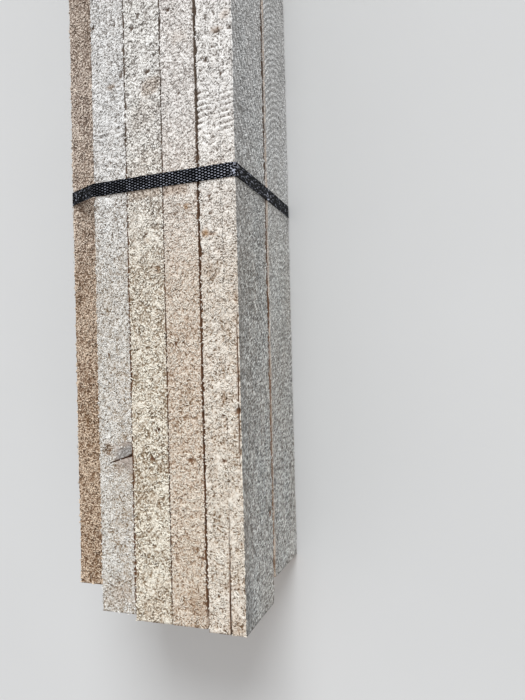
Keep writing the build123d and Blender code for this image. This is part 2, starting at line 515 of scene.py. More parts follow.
def make_stud(stud, spacings, material, seen=True, shaped=None):
    """The skin and the cut ends of a stud, standing for its CAD node."""
    offsets, round_, sides = stud.section(spacings)
    cuts = stud_rows(stud, seen)[:, None]
    r = round_[None, :]
    along = cuts + stud.slant_round(r)
    open_face = (np.array(spacings) < HIDDEN)[sides][None, :]
    broad = (np.isin(sides, (RIGHT, LEFT))[None, :] & open_face).astype(float)
    tuft = stud.tufts(along, r, broad)
    relief = np.where(open_face, stud.relief(along, r, broad), HIDDEN_RELIEF)
    from_end = np.minimum(cuts, STUD_LENGTH - cuts)
    relief = relief * ease(0.0, 1.5, from_end)
    grid, normals = stud.rounded(np.broadcast_to(offsets, relief.shape + (2,)), along)
    grid = grid + normals * relief[..., None]
    # Painted shade: in the knot's crack, in chip hollows, on arrises beside neighbours, on hidden faces
    # between studs, and below in the splits and along their lips
    dark = np.maximum(stud.crack_depth(along, r) * (r < stud.width),
                      CHIP_SHADE * stud.chip_marks(along, r))
    hidden_shade = HIDDEN_SHADE * ease(4, 30, from_end)
    dark = np.maximum(dark, np.where(open_face, stud.seam_marks(along, r), hidden_shade))
    for split in stud.splits:
        half_width, depth, drift = split_profile(cuts[:, 0], split)
        lips = LIP_SHADE * ease(0.1, 0.9, half_width / half_width.max())
        for reach in (-1, 0, 1):
            column = int(np.argmin(np.abs(round_ - split[0] - reach * LIP)))
            grid[:, column, 0] = split[0] - stud.half[0] + drift + reach * half_width
            if reach == 0:
                grid[:, column, 1] -= depth
            dark[:, column] = (1.0 if reach == 0 else lips) * ease(0.1, 1.0, depth)
    if shaped is not None:
        grid, dark = shaped(stud, grid, along, dark)
    knot, ring = stud.knot_marks(along, r)
    stain = stud.stain_marks(along, r) * (1 - broad)

    # The skin, with a rim just inside each end, then the nets over the two cut ends
    offsets = np.concatenate([grid[:1] * RIM_SCALE, grid, grid[-1:] * RIM_SCALE])
    rows, columns = offsets.shape[:2]
    distances = np.concatenate([[RIM_INSET], cuts[:, 0], [STUD_LENGTH - RIM_INSET]])
    distances = distances[:, None] + stud.slant(offsets)
    offsets, distances = offsets.reshape(-1, 2), distances.ravel()
    faces = tube_faces(rows, columns)
    for rim, cut, inward in ((0, 0.0, 1), ((rows - 1) * columns, STUD_LENGTH, -1)):
        inner, net = cut_net(stud, offsets[rim:rim + columns])
        dents = stud.clumps(*(inner + NET_FIELD_START).T)
        dents = NET_DENT + NET_DENT_SPREAD * np.clip(dents, -2, 2)
        numbers = np.concatenate([np.arange(rim, rim + columns), len(offsets) + np.arange(len(inner))])
        faces += numbers[net[:, ::inward]].tolist()
        offsets = np.concatenate([offsets, inner])
        distances = np.concatenate([distances, cut + stud.slant(inner) + inward * dents])
    vertices = stud.place(offsets, distances)
    if stud.name == "stud_top_5":
        foot = stud.middle[1] - END_LEAN * stud.half[1]
        rise = CORNER_BREAK_HEIGHT * (1 - (vertices[:, 1] - foot) / CORNER_BREAK_LENGTH)
        vertices[:, 2] = np.maximum(vertices[:, 2], stud.middle[2] - stud.half[1] + rise)

    def whole(values, at_ends=0.0):
        padded = np.full(len(vertices), float(at_ends))
        padded[columns:(rows - 1) * columns] = np.broadcast_to(values, relief.shape).ravel()
        return padded

    attributes = {"tuft": whole(tuft, 0.4), "knot": whole(knot), "ring": whole(ring),
                  "side": whole(broad), "dark": whole(dark), "stain": whole(stain),
                  "cut": whole(0.0, 1.0), "loose": 0.0, "radius": np.hypot(*(offsets - stud.pith).T)}
    piece = add_mesh("wood_" + stud.name, vertices, faces, attributes, material)
    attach(piece, "root")
    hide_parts(stud.name)


def make_fluff(stud, side, material, density, size, slant=None, start=0.0, keep_from=0.0, plump=1.0):
    """Loose curls and torn fibres standing on one face of a stud, from start to the far end."""
    rng = stud.rng
    side_start, side_end = stud.side_starts[side:side + 2]
    run = side_end - side_start
    count = int(density * run * (STUD_LENGTH - start))
    across = rng.uniform(keep_from, run, count)
    round_ = side_start + across
    along = rng.uniform(start, STUD_LENGTH, count) + stud.slant_round(round_)
    broad = float(side in (RIGHT, LEFT))
    chance = 0.85 + 0.15 * stud.clumps(along, round_)
    chance += 0.15 * stud.patches(along, round_)
    chance *= 1 - 0.9 * stud.knot_marks(along, round_)[0]
    chance *= (1 - 0.7 * stud.spot_marks(along, round_)) * (1 - stud.strap_nearness(along, 2.0))
    chance *= (1 - stud.crack_depth(along, round_)) * (1 - stud.chip_marks(along, round_, CHIP_CLEARING))
    beyond = ease(*FAR_FADE, along)
    chance *= 1 - FAR_BARE * beyond
    chance *= 1 - 0.45 * stud.pitted * ease(*PITTED_FROM, along) * (1 - broad)
    for ridge in stud.ridges:
        chance *= 1 - 1.4 * ridge[3] * stud.ridge_cover(ridge[0], ridge[1], along, broad)
    for split in stud.splits:
        half_width, _, drift = split_profile(along, split)
        beside = np.abs(round_ - split[0] - drift) > half_width + 0.4 * size
        chance *= beside | (half_width < 0.1)
    keep = rng.uniform(0, 1, count) < chance
    along, across = along[keep], across[keep]
    big = 1 + 0.5 * beyond[keep]
    if side == TOP:
        for from_left, from_end, spread in stud.lumps:
            along = np.append(along, from_end + rng.normal(0, 0.7 * spread, LUMP_CURLS))
            across = np.append(across, from_left + rng.normal(0, spread, LUMP_CURLS))
            big = np.append(big, np.full(LUMP_CURLS, LUMP_SIZE))
    count = len(along)

    length = size * big * rng.lognormal(0.0, 0.35, count)
    width = plump * (CURL_WIDTH - CURL_NARROWER * broad) * (size * big) ** 0.5
    width = width * rng.uniform(0.7, 1.3, count)
    angle = rng.uniform(0, 2 * math.pi, count) if slant is None else slant + rng.normal(0, 0.7, count)
    bend = rng.normal(0, 0.22, count) * length
    lift = rng.uniform(0.1, 0.6, count) * stud.fluff * big * (1 - 0.45 * broad)
    heading = np.stack([np.cos(angle), np.sin(angle)], axis=-1)
    crossing = np.stack([-heading[:, 1], heading[:, 0]], axis=-1)
    points = []
    for t in CURL_STATIONS:
        tip = abs(t) == 1
        spot = np.stack([along, across], axis=-1) + heading * (length * t / 2)[:, None]
        spot += crossing * (bend * (1 - t * t))[:, None]
        nearest = side_start + np.clip(spot[:, 1], 0.2, run - 0.2)
        base = stud.relief(spot[:, 0], nearest, broad)
        height = np.minimum(base + (-0.1 if tip else lift), CURL_TALLEST - 0.75 * width)
        for sideways, up in (((0, 0),) if tip else ((-1, -0.25), (0, 0.75), (1, -0.25))):
            place = spot + crossing * (sideways * width)[:, None]
            points.append(np.stack([place[:, 0], place[:, 1], height + up * width], axis=-1))
    points = np.stack(points, axis=1)
    first, last = np.array(CORNER_SIGNS[side]), np.array(CORNER_SIGNS[(side + 1) % 4])
    share = np.clip(points[..., 1], -EDGE, run + EDGE)[..., None] / run
    offsets = (first + (last - first) * share) * stud.half
    offsets = offsets + np.array(SIDE_TURNS[side]) * points[..., 2:]
    cut = stud.slant(offsets)
    distances = np.clip(points[..., 0], cut - CURL_OVERHANG, cut + STUD_LENGTH + CURL_OVERHANG)
    vertices = stud.place(offsets, distances).reshape(-1, 3)
    faces = np.array(CURL_FACES)[None] + 8 * np.arange(count)[:, None, None]
    # Each curl's tone is pale, partly a painted highlight on fibres standing up into the light, plus
    # CURL_SHADE's painted shade and highlight
    tone = (rng.uniform(0.62, 1.1, count) + 0.2 * (big - 1))[:, None] + np.array(CURL_SHADE)
    stain = 0.85 * stud.stain_marks(along, side_start + across) * (side == TOP)
    attributes = {"tuft": tone.ravel(), "knot": 0.0, "ring": 0.0, "side": broad, "dark": 0.0,
                  "stain": np.repeat(stain, len(CURL_SHADE)), "cut": 0.0, "loose": 1.0, "radius": 0.0}
    piece = add_mesh(f"fluff_{stud.name}_{SIDE_NAMES[side]}", vertices, faces.reshape(-1, 3).tolist(),
                     attributes, material)
    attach(piece, "root")


def wane_size(y):
    """The width of the wane, which widens away from the near end."""
    reach = STUD_LENGTH / 2 + STUD_WIDTH
    return WANE_NEAR + (WANE_FAR - WANE_NEAR) * (y + reach) / (2 * reach)


def wane(stud, grid, along, dark):
    """The round of the log along the upper right edge."""
    size = wane_size(stud.middle[1] + along) + 0.5 * stud.clumps(along, 0 * along)
    excess = grid[..., 0] + grid[..., 1] - (stud.half.sum() - size)
    moved = grid - 0.5 * np.clip(excess, 0, None)[..., None]
    inward = stud.half[0] - LEDGE - moved[..., 0] + 0.35 * stud.wear(along, 0 * along)
    back = np.clip(WANE_BACK * (size - WANE_BACK_FROM), 0, WANE_BACK_MOST)
    shade = WANE_SHADE * ease(back - 0.9, back - 0.1, inward) * ease(-1.0, 0.2, excess)
    shade *= WANE_SHADE_AT_END + (1 - WANE_SHADE_AT_END) * ease(*WANE_SHADE_GROWS, along)
    bare = ease(-0.8 * size, 0.3, excess)
    return moved, np.where(shade > 0.1, shade, dark * (excess < 0) - bare)


class Nodes:
    """A short way to build a material's node tree."""

    def __init__(self, name):
        self.material = bpy.data.materials.new(name)
        self.material.use_nodes = True
        self.tree = self.material.node_tree
        self.shader = self.tree.nodes["Principled BSDF"]

    def add(self, kind, inputs=(), **settings):
        node = self.tree.nodes.new(kind)
        for key, value in settings.items():
            setattr(node, key, value)
        for socket, value in dict(inputs).items():
            self.feed(node, socket, value)
        return node

    def feed(self, node, socket, value):
        if isinstance(value, bpy.types.NodeSocket):
            self.tree.links.new(value, node.inputs[socket])
        else:
            node.inputs[socket].default_value = value

    def math(self, operation, a, b=0, clamp=False):
        return self.add("ShaderNodeMath", {0: a, 1: b}, operation=operation, use_clamp=clamp).outputs[0]

    def plus(self, a, b):
        return self.math("ADD", a, b)

    def minus(self, a, b):
        return self.math("SUBTRACT", a, b)

    def times(self, a, b):
        return self.math("MULTIPLY", a, b)

    def noise(self, vector, scale, detail=2, roughness=0.5, distortion=0):
        node = self.add("ShaderNodeTexNoise", {"Vector": vector, "Scale": scale, "Detail": detail,
                                               "Roughness": roughness, "Distortion": distortion})
        return node.outputs["Fac"]

    def stretch(self, vector, factors):
        return self.add("ShaderNodeVectorMath", {0: vector, 1: factors}, operation="MULTIPLY").outputs[0]

    def dot(self, vector, direction):
        node = self.add("ShaderNodeVectorMath", {0: vector, 1: direction}, operation="DOT_PRODUCT")
        return node.outputs["Value"]

    def mix(self, factor, a, b, blend="MIX"):
        node = self.add("ShaderNodeMix", data_type="RGBA", blend_type=blend)
        for socket, value in ((0, factor), (6, a), (7, b)):
            self.feed(node, socket, value)
        return node.outputs[2]

    def spread(self, value, low, high, to_low=0, to_high=1):
        node = self.add("ShaderNodeMapRange", {"Value": value, "From Min": low, "From Max": high,
                                               "To Min": to_low, "To Max": to_high})
        return node.outputs["Result"]

    def adjust(self, colour, saturation, value):
        return self.add("ShaderNodeHueSaturation",
                        {"Saturation": saturation, "Value": value, "Color": colour}).outputs[0]

    def value(self, name):
        node = self.add("ShaderNodeAttribute", attribute_name=name, attribute_type="GEOMETRY")
        return node.outputs["Fac"]


def srgb(red, green, blue):
    """A colour written as 0 to 255 screen values, as linear RGBA."""
    def linear(c):
        c /= 255
        return c / 12.92 if c <= 0.04045 else ((c + 0.055) / 1.055) ** 2.4
    return (linear(red), linear(green), linear(blue), 1.0)


# Colours that all the studs share. The broad sides' greys are partly the grey of weathered wood and
# partly painted shade of faces turned from the light
END_EARLY, END_LATE = srgb(230, 206, 168), srgb(168, 124, 82)
SIDE_DEEP, SIDE_BASE, SIDE_PALE = srgb(92, 93, 92), srgb(150, 149, 146), srgb(244, 244, 239)
KNOT_BROWN, KNOT_TAN, KNOT_GREY = srgb(142, 112, 82), srgb(190, 174, 162), srgb(172, 169, 166)
KNOT_LINE, KNOT_DIM = srgb(96, 91, 88), srgb(98, 95, 90)
# Painted shade: brown in seams and on hidden faces, greyer far off, and near black in the deepest cracks
# and splits
SEAM_SHADE_BROWN, SEAM_SHADE_GREY, CREVICE_SHADE = srgb(120, 86, 61), srgb(110, 94, 81), srgb(40, 27, 20)
STAIN_TINT, SPECK_BROWN, WANE_TAN = srgb(184, 152, 117), srgb(104, 84, 66), srgb(204, 186, 170)
BLOTCH_TAN, LATE_TAN = srgb(176, 150, 118), srgb(176, 140, 100)

# The spacing of growth rings in millimetres
GROWTH_RING = 5.2

# Places, in metres, over which the wood changes: paler, greyer and brighter beyond the near strap,
# partly weathering and partly painted light; warmer and dimmer towards the near end, as painted light;
# paler on the lower row's side away from it; and darker below the right-hand arris, as painted shade
WEATHERED_AND_LIT_Y = (-0.82, -0.64)
WARM_LIGHT_Y = (-0.76, -0.99)
LOWER_PALE_Y = (-0.98, -0.86)
LOWER_ROW_Z = (0.100, 0.090)
ARRIS_SHADE_Z = (0.160, 0.190)

# The same for the straps: fewer painted glints towards the left, and on the sides
STRAP_DULL_X = (-0.09, 0.06)
STRAP_SIDE_Z = (0.191, 0.187)


def pine(name, deep, base, pale, coarseness=1, weathering_and_light=1):
    """Fuzzy rough-sawn pine with hollows, tufts, knots and end grain; its colour follows the fuzz, with
    painted shade in the hollows and painted highlights on the tufts.
    """
    n = Nodes(name)
    place = n.add("ShaderNodeTexCoord").outputs["Object"]
    along, up = n.dot(place, (0, 1, 0)), n.dot(place, (0, 0, 1))
    tuft, side, knot, cut = n.value("tuft"), n.value("side"), n.value("knot"), n.value("cut")
    worms = n.noise(place, 520 / coarseness, 1.5, 0.55, 0.8)
    worm = n.spread(n.math("ABSOLUTE", n.minus(worms, 0.5)), 0, 0.10, 1, 0)
    pits = n.noise(place, 460 / coarseness, 2, 0.6)
    hair_run, hair_cross = n.dot(place, (0, 0.52, -0.85)), n.dot(place, (0, 0.85, 0.52))
    hair_place = n.add("ShaderNodeCombineXYZ", {0: hair_run, 1: hair_cross}).outputs[0]
    hairs = n.noise(n.stretch(hair_place, (0.3, 1, 1)), 600, 2, 0.6)
    # grain is the fuzz's fine relief painted into the colour: painted shade in pits and painted
    # highlight on worm-like ridges, and on the broad sides on hairs
    grain = n.plus(n.times(worm, 0.34), n.times(n.minus(pits, 0.51), 2.1))
    side_grain = n.plus(n.times(n.minus(hairs, 0.42), 2.6), n.times(n.minus(pits, 0.5), 1.4))
    grain = n.add("ShaderNodeMix", {0: side, 2: grain, 3: side_grain}, data_type="FLOAT").outputs[0]
    loose = n.value("loose")
    grain = n.times(grain, n.spread(loose, 0, 1, 1, 0.5))
    fuzz = n.plus(n.times(tuft, n.spread(loose, 0, 1, 0.52, 0.95)), grain)
    fuzz = n.plus(fuzz, n.spread(side, 0, 1, 0.09, 0))

    # Tops and broad sides, from hollows to tufts: painted shade in the hollows, painted highlight on the
    # tufts
    wood = n.mix(n.spread(fuzz, 0.05, 0.40), deep, base)
    wood = n.mix(n.spread(fuzz, 0.42, 0.72), wood, pale)
    # Broad sides: greyer and darker than the tops, partly weathered wood and partly painted shade
    flank = n.mix(n.spread(fuzz, 0.05, 0.40), SIDE_DEEP, SIDE_BASE)
    flank = n.mix(n.spread(fuzz, 0.45, 1), flank, SIDE_PALE)
    # Painted shade on the top row's broad sides just below the upper arris
    flank = n.mix(n.spread(up, *ARRIS_SHADE_Z, 0, 0.3), flank, SIDE_DEEP)
    far = n.spread(along, *WEATHERED_AND_LIT_Y, 0, weathering_and_light)
    flank = n.mix(n.times(far, 0.1), flank, SIDE_PALE)
    lower = n.times(n.spread(up, *LOWER_ROW_Z), n.spread(along, *LOWER_PALE_Y, 0, 0.08))
    flank = n.mix(lower, flank, SIDE_PALE)
    wood = n.mix(side, wood, flank)
    deeper = n.minus(pits, n.times(far, 0.025))
    # Painted shadows in small pits, strongest in low places
    pit_shadows = n.spread(deeper, 0.41, 0.35, 0, 0.9)
    pit_shadows = n.math("MULTIPLY", pit_shadows, n.spread(tuft, 0.75, 0.35), clamp=True)
    wood = n.mix(n.times(pit_shadows, n.spread(side, 0, 1, 1, 0.4)), wood, SPECK_BROWN)
    blotch = n.noise(n.stretch(place, (1, 0.3, 1)), 30, 3, 0.6)
    wood = n.mix(n.spread(blotch, 0.38, 0.62, 0.10, 0), wood, BLOTCH_TAN)

    # Growth rings: clear on the cut ends, a trace elsewhere
    warp = n.times(n.noise(n.stretch(place, (1, 0.15, 1)), 22, 2), 9)
    turns = n.times(n.plus(n.value("radius"), warp), 2 * math.pi / GROWTH_RING)
    late = n.spread(n.math("SINE", turns), -0.1, 1)
    kerf = n.noise(n.stretch(place, (0.25, 1, 1.6)), 420, 2, 0.6)
    end_wood = n.mix(late, n.mix(0.35, END_EARLY, base), END_LATE)
    end_wood = n.mix(n.spread(kerf, 0.40, 0.62, 0.45, 0), end_wood, END_LATE)
    wood = n.mix(n.times(late, 0.07), wood, LATE_TAN)
    # Beyond the near strap: paler, greyer and brighter, partly weathering and partly painted light;
    # towards the near end: warmer and dimmer, as painted light
    wood = n.mix(far, wood, n.adjust(wood, 0.42, 1.09))
    warm_light = n.times(n.spread(along, *WARM_LIGHT_Y), n.spread(side, 0, 1, 1, 0))
    wood = n.mix(warm_light, wood, n.adjust(wood, 1.2, 0.95))
    wood = n.mix(cut, wood, end_wood)

    # Knots: grey rings round the heart, tan outside them
    turn = n.value("ring")
    ring = n.math("SINE", n.times(turn, 2 * math.pi / KNOT_RING))
    broken = n.spread(n.noise(place, 160, 2), 0.42, 0.64, 1, 0.4)
    heart = n.mix(n.times(n.spread(ring, 0, 0.9), broken), KNOT_GREY, KNOT_LINE)
    knot_wood = n.mix(n.spread(turn, KNOT_RIM - 6, KNOT_RIM - 1), heart, KNOT_TAN)
    knot_wood = n.mix(n.spread(pits, 0.38, 0.62, 0.55, 0), knot_wood, KNOT_LINE)
    knot_wood = n.mix(n.spread(turn, SMALL_KNOT_RING - 1, SMALL_KNOT_RING), knot_wood, KNOT_BROWN)
    # On the broad sides a knot is dimmed like them, partly painted shade
    knot_wood = n.mix(side, knot_wood, KNOT_DIM)
    wood = n.mix(n.times(knot, 0.8), wood, knot_wood)

    # Stains; painted shade in seams, cracks, splits and chip hollows and on hidden faces; and the wane's
    # bare wood, which has a negative darkness
    wood = n.mix(n.times(n.value("stain"), 0.65), wood, STAIN_TINT, "MULTIPLY")
    dark = n.value("dark")
    wood = n.mix(n.spread(dark, 0, 0.6), wood, n.mix(far, SEAM_SHADE_BROWN, SEAM_SHADE_GREY))
    wood = n.mix(n.spread(dark, 0.6, 1), wood, CREVICE_SHADE)
    streaks = n.noise(n.stretch(place, (1, 0.25, 1)), 200, 3, 0.6)
    bare = n.mix(n.spread(streaks, 0.38, 0.60), n.mix(0.45, WANE_TAN, SPECK_BROWN), WANE_TAN)
    wood = n.mix(n.spread(dark, 0, -1), wood, bare)
    n.feed(n.shader, "Base Color", wood)
    n.feed(n.shader, "Roughness", 0.9)
    n.feed(n.shader, "Specular IOR Level", 0.2)
    bump = n.add("ShaderNodeBump", {"Height": fuzz, "Strength": 0.8, "Distance": 0.0009})
    n.feed(n.shader, "Normal", bump.outputs[0])
    return n.material


def black_strap():
    """Embossed black plastic: glossy, with painted glints on some raised lozenges, on the sides and
    where it is creased.
    """
    n = Nodes("strap_black")
    place = n.add("ShaderNodeTexCoord").outputs["Object"]
    glint_patches = n.noise(place, 190, 3, 0.7)
    glint_specks = n.noise(n.stretch(place, (1, 1, 0.4)), 420, 2, 0.6)
    glint_strength = n.minus(glint_patches, n.spread(n.dot(place, (1, 0, 0)), *STRAP_DULL_X, 0.16, 0))
    glint_strength = n.spread(glint_strength, 0.36, 0.60, 0.10, 0.66)
    down = n.spread(n.dot(place, (0, 0, 1)), *STRAP_SIDE_Z)
    glint_strength = n.times(glint_strength, n.spread(down, 0, 1, 1, 0.12))
    # worn: painted glints on raised lozenges, painted highlights where the strap is creased, and painted
    # glints flecking the side runs
    worn = n.times(n.spread(n.value("raised"), 0.55, 0.8), glint_strength)
    crushed = n.times(n.value("bent"), n.spread(glint_specks, 0.53, 0.61, 0, 0.8))
    side_glints = n.times(down, n.spread(glint_specks, 0.57, 0.65, 0, 0.40))
    worn = n.math("MAXIMUM", worn, n.math("MAXIMUM", crushed, side_glints))
    n.feed(n.shader, "Base Color", n.mix(worn, srgb(2, 2, 3), srgb(208, 212, 226)))
    n.feed(n.shader, "Roughness", n.spread(glint_patches, 0.3, 0.7, 0.35, 0.55))
    n.feed(n.shader, "Specular IOR Level", 0.025)
    return n.material


def arc(centre, start, end, radius):
    """Points and normals on a clockwise arc between two unit directions."""
    a, b = math.atan2(start[1], start[0]), math.atan2(end[1], end[0])
    if b > a:
        b -= 2 * math.pi
    angles = np.linspace(a, b, max(3, round((a - b) / 0.12)))
    return np.stack([centre[0] + radius * np.cos(angles), centre[1] + radius * np.sin(angles),
                     np.cos(angles), np.sin(angles)], axis=-1)


def taut_loop(corners, radius):
    """A clockwise loop pulled round convex corners: rows of x, z and outward normal."""
    path = []
    for k, corner in enumerate(corners):
        into = np.subtract(corner, corners[k - 1])
        away = np.subtract(corners[(k + 1) % len(corners)], corner)
        into, away = into / np.hypot(*into), away / np.hypot(*away)
        n1, n2 = np.array([-into[1], into[0]]), np.array([-away[1], away[0]])
        half_turn = math.acos(np.clip(n1 @ n2, -1, 1)) / 2
        bisector = (n1 + n2) / np.hypot(*(n1 + n2))
        path.append(arc(np.array(corner) - bisector * radius / math.cos(half_turn), n1, n2, radius))
    return np.concatenate(path)


def strap_loop():
    """The taut run round the stack, starting at the foot of the lap on the left side and going up."""
    top, foot = node_box("stud_top_5"), node_box("stud_bottom_5")
    left, inner = node_box("stud_top_1"), node_box("stud_top_2")
    row_left, bottom, middle_z = left[0][0], foot[0][2], top[0][2]
    corners = [(row_left, left[1][2]), (inner[0][0], top[1][2]), (top[1][0], top[1][2]),
               (foot[1][0], middle_z - WANE_FAR), (foot[1][0], bottom), (row_left, bottom)]
    loop = taut_loop(corners, BEND_RADIUS)
    start = np.array([[row_left, middle_z - LAP_LENGTH / 2, -1.0, 0.0]])
    return np.concatenate([start, loop, start])


def make_strap(name, material, spacing, plain_spacing, columns):
    """One embossed strap. Its outer end laps over its inner end on the left side."""
    low, high = node_box(name)
    middle_y = (low[1] + high[1]) / 2
    loop = strap_loop()
    run = np.concatenate([[0], np.cumsum(np.hypot(*np.diff(loop[:, :2], axis=0).T))])
    around = run[-1]
    (_, _, middle_z), (right, _, top) = node_box("stud_top_5")
    shown_start = node_box("stud_top_1")[1][2] - (middle_z - LAP_LENGTH / 2) - SHOWN_BEFORE
    shown_end = shown_start + SHOWN_RUN
    marks = np.concatenate([steps(0, shown_start, plain_spacing), steps(shown_start, shown_end, spacing),
                            steps(shown_end, around + LAP_LENGTH, plain_spacing), [around + LAP_LENGTH]])
    wrapped = np.where(marks > around, marks - around, marks)
    path = np.stack([np.interp(wrapped, run, loop[:, i]) for i in range(4)], axis=-1)
    path[:, 2:] /= np.hypot(path[:, 2], path[:, 3])[:, None]
    base = STRAP_CLEARANCE + STRAP_THICKNESS * (1 - ease(LAP_LENGTH, LAP_LENGTH + LAP_SLOPE, marks))

    # Section of the strap: the embossed face, then the plain inner face
    half = STRAP_WIDTH / 2
    across = np.linspace(half - STRAP_EDGE_INSET, -half + STRAP_EDGE_INSET, columns)
    across = np.concatenate([[half], across, [-half], [-half, half]])
    face = np.full(columns, STRAP_THICKNESS)
    height = np.concatenate([[STRAP_EDGE_HEIGHT], face, [STRAP_EDGE_HEIGHT], [0.0, 0.0]])
    outer = height > STRAP_EDGE_HEIGHT
    pitch_along = around / round(around / LOZENGE_PITCH)
    inner = (np.abs(across) < half - 0.5) & outer
    lozenge = np.zeros((len(marks), len(across)))
    for stagger in (0.0, 0.5):
        u = (marks[:, None] / pitch_along + stagger) % 1 - 0.5
        w = (across[None, :] / LOZENGE_PITCH_ACROSS + stagger + 0.25) % 1 - 0.5
        size = 1 - (np.abs(u) * pitch_along / LOZENGE_HALF_LENGTH
                    + np.abs(w) * LOZENGE_PITCH_ACROSS / LOZENGE_HALF_WIDTH)
        lozenge = np.maximum(lozenge, np.clip(size / LOZENGE_SLOPE, 0, 1))
    sunk = np.where(inner[None, :], LOZENGE_HEIGHT * (1 - lozenge), 0.0)
    rise = base[:, None] + height[None, :] - sunk
    x = path[:, None, 0] + path[:, None, 2] * rise
    z = path[:, None, 1] + path[:, None, 3] * rise
    y = middle_y + np.broadcast_to(across[None, :], x.shape)
    rows, count = x.shape
    raised = np.where(inner[None, :], lozenge, 0.3 * outer[None, :]) + 0 * x

    # Where it is creased: over the upper right corner and over the ledge on the right-hand side
    turn = np.hypot(path[:, 0] - right, path[:, 1] - top)
    kink = np.abs(path[:, 1] - (middle_z - WANE_FAR / 2)) + 20 * (path[:, 0] < 0)
    # bent marks where painted highlights go at these creases
    bent = np.maximum(1 - ease(3, 8, turn), 1 - ease(3, 9, kink))[:, None] * outer[None, :]
    ends = [list(range(count))[::-1], list(range((rows - 1) * count, rows * count))]
    piece = add_mesh("band_" + name, np.stack([x, y, z], axis=-1).reshape(-1, 3),
                     tube_faces(rows, count) + ends, {"raised": raised.ravel(), "bent": bent.ravel()},
                     material)
    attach(piece, "root")
    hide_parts(name)


def make_camera():
    """The photograph's camera."""
    right = node_box("stud_top_5")[1]
    data = bpy.data.cameras.new("camera")
    data.sensor_width = SENSOR_MM
    data.lens = FOCAL_PX * SENSOR_MM / PHOTO_HEIGHT_PX
    data.clip_start = 0.02
    camera = add_object("camera", data)
    camera.location = MM * Vector((right[0] + CAMERA_OUT, STRAP_Y[0] - CAMERA_BEHIND_STRAP,
                                   right[2] + CAMERA_ABOVE))
    camera.rotation_euler = [math.radians(a) for a in CAMERA_TILT_DEG]
    bpy.context.scene.camera = camera


def make_stage():
    """A plain pale floor and soft, even studio light from beyond the far end."""
    n = Nodes("floor_pale")
    shade = n.noise(n.add("ShaderNodeTexCoord").outputs["Object"], 3, 3)
    n.feed(n.shader, "Base Color", n.mix(shade, srgb(206, 205, 203), srgb(212, 211, 209)))
    n.feed(n.shader, "Roughness", 0.9)
    mesh = bpy.data.meshes.new("floor")
    corners = [(x * FLOOR_REACH, y * FLOOR_REACH, 0) for x, y in CORNER_SIGNS]
    mesh.from_pydata(corners, [], [(3, 2, 1, 0)])
    mesh.materials.append(n.material)
    floor = add_object("floor", mesh)

    key = bpy.data.lights.new("key", "SUN")
    key.energy = 2.65
    key.angle = math.radians(30)
    key.color = (0.91, 0.955, 1)
    lamp = add_object("key", key)
    lamp.rotation_euler = Vector(KEY_DIRECTION).to_track_quat("-Z", "Y").to_euler()

    world = bpy.data.worlds.new("world")
    world.use_nodes = True
    background = world.node_tree.nodes["Background"]
    background.inputs["Color"].default_value = (0.985, 0.985, 1, 1)
    background.inputs["Strength"].default_value = 0.66
    bpy.context.scene.world = world
    bpy.context.scene.view_settings.view_transform = "Standard"


make_camera()

WHITE = pine("pine_white", srgb(122, 109, 94), srgb(206, 198, 187), srgb(255, 252, 246))
CREAM = pine("pine_cream", srgb(108, 91, 71), srgb(197, 183, 165), srgb(255, 249, 236), 1.15)
ROSE = pine("pine_rose", srgb(130, 108, 90), srgb(212, 193, 175), srgb(255, 246, 233))
PALE = pine("pine_pale", srgb(121, 101, 81), srgb(233, 221, 207), srgb(255, 248, 237), 1.15)
# stud_top_1's darker brown is partly painted shade, for this lower stud lying in shade
BROWN = pine("pine_brown", srgb(66, 48, 37), srgb(141, 115, 96), srgb(246, 228, 208), weathering_and_light=0.35)
PLAIN_WOOD = pine("pine_plain", srgb(142, 126, 104), srgb(208, 196, 178), srgb(250, 244, 232))
